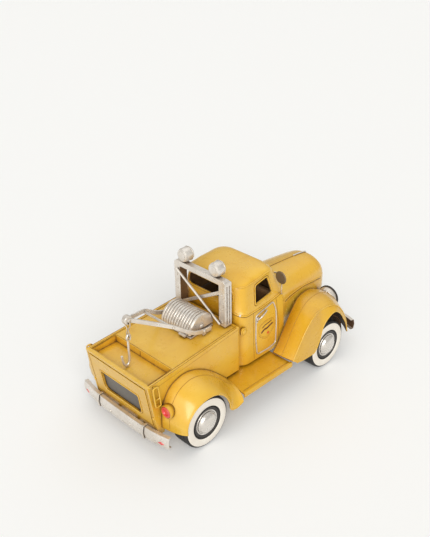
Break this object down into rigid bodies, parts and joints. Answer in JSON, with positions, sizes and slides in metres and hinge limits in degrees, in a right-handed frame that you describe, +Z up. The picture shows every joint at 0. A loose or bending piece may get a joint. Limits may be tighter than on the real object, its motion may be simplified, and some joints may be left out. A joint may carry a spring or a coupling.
{
  "type": "toy tow truck",
  "caption": "Pickup-style toy recovery truck with rolling wheels, rear mast and boom, swinging hook and drop tailgate.",
  "frame": {"origin": "middle of the footprint's bounding box, at ground level", "axes": "+Y towards the rear bumper, -Y towards the nose, +X to the truck's left side, +Z up"},
  "size_m": [0.1594, 0.3102, 0.1605],
  "materials": {
    "yellow_paint": "warm yellow enamel with brown antiquing wash",
    "silver_paint": "aged silver paint, brushed",
    "hubcap_silver": "bright silver paint",
    "black_rubber": "matte, with a white band",
    "dark_underbody": "dark brown, matte",
    "axle_steel": "plain",
    "grey_panel": "dark grey, matte",
    "red_lens": "red, glossy",
    "lamp_lens": "milky, glossy",
    "brown_seat": "dark brown, satin"
  },
  "bodies": {
    "truck": {"chassis_frame": "dark_underbody", "rear_axle": "axle_steel", "front_axle": "axle_steel", "rear_fender_right": "yellow_paint", "rear_fender_left": "yellow_paint", "front_fender_right": "yellow_paint", "front_fender_left": "yellow_paint", "cab_shell": "yellow_paint", "cab_floor": "dark_underbody", "bench_seat": "brown_seat", "steering_wheel": "dark_underbody", "hood": "yellow_paint", "grille": "silver_paint", "bed_body": "yellow_paint", "bed_deck": "yellow_paint", "tie_loop_right": "yellow_paint", "tie_loop_left": "yellow_paint", "running_board_right": "yellow_paint", "running_board_left": "yellow_paint", "mast_frame": "silver_paint", "mast_brace_rod": "silver_paint", "mast_brace_strip": "silver_paint", "work_lamp_right": "silver_paint", "work_lamp_left": "silver_paint", "winch_base": "silver_paint", "winch_drum": "silver_paint", "boom_frame": "silver_paint", "rear_bumper": "silver_paint", "front_bumper": "silver_paint", "bumper_guard_right": "silver_paint", "bumper_guard_left": "silver_paint", "headlight_right": "silver_paint", "headlight_left": "silver_paint", "headlight_lens_right": "lamp_lens", "headlight_lens_left": "lamp_lens", "tail_lamp_right": "yellow_paint", "tail_lamp_left": "yellow_paint", "tail_lens_right": "red_lens", "tail_lens_left": "red_lens", "side_mirror_right": "silver_paint"},
    "wheel_front_right": {"tyre_front_right": "black_rubber", "wheel_front_right": "hubcap_silver", "hubcap_front_right": "hubcap_silver"},
    "wheel_front_left": {"tyre_front_left": "black_rubber", "wheel_front_left": "hubcap_silver", "hubcap_front_left": "hubcap_silver"},
    "wheel_rear_right": {"tyre_rear_right": "black_rubber", "wheel_rear_right": "hubcap_silver", "hubcap_rear_right": "hubcap_silver"},
    "wheel_rear_left": {"tyre_rear_left": "black_rubber", "wheel_rear_left": "hubcap_silver", "hubcap_rear_left": "hubcap_silver"},
    "tailgate": {"tailgate": "yellow_paint", "tailgate_panel": "grey_panel"},
    "wire": {"hoist_wire": "silver_paint"},
    "hook": {"tow_hook": "silver_paint"}
  },
  "joints": [
    {"name": "spin_front_right", "type": "hinge", "parent": "truck", "child": "wheel_front_right", "pos_m": [-0.07504, -0.08344, 0.028], "axis": [1, 0, 0], "continuous": true},
    {"name": "spin_front_left", "type": "hinge", "parent": "truck", "child": "wheel_front_left", "pos_m": [0.07504, -0.08344, 0.028], "axis": [1, 0, 0], "continuous": true},
    {"name": "spin_rear_right", "type": "hinge", "parent": "truck", "child": "wheel_rear_right", "pos_m": [-0.07504, 0.10472, 0.028], "axis": [1, 0, 0], "continuous": true},
    {"name": "spin_rear_left", "type": "hinge", "parent": "truck", "child": "wheel_rear_left", "pos_m": [0.07504, 0.10472, 0.028], "axis": [1, 0, 0], "continuous": true},
    {"name": "tailgate_drop", "type": "hinge", "parent": "truck", "child": "tailgate", "pos_m": [0, 0.14602, 0.03125], "axis": [-1, 0, 0], "range_deg": [0, 60]},
    {"name": "wire_swing", "type": "hinge", "parent": "truck", "child": "wire", "pos_m": [0, 0.13586, 0.12575], "axis": [1, 0, 0], "range_deg": [-10, 2]},
    {"name": "hook_swing", "type": "hinge", "parent": "wire", "child": "hook", "pos_m": [0, 0.13586, 0.10811], "axis": [1, 0, 0], "range_deg": [-8, 2]}
  ]
}
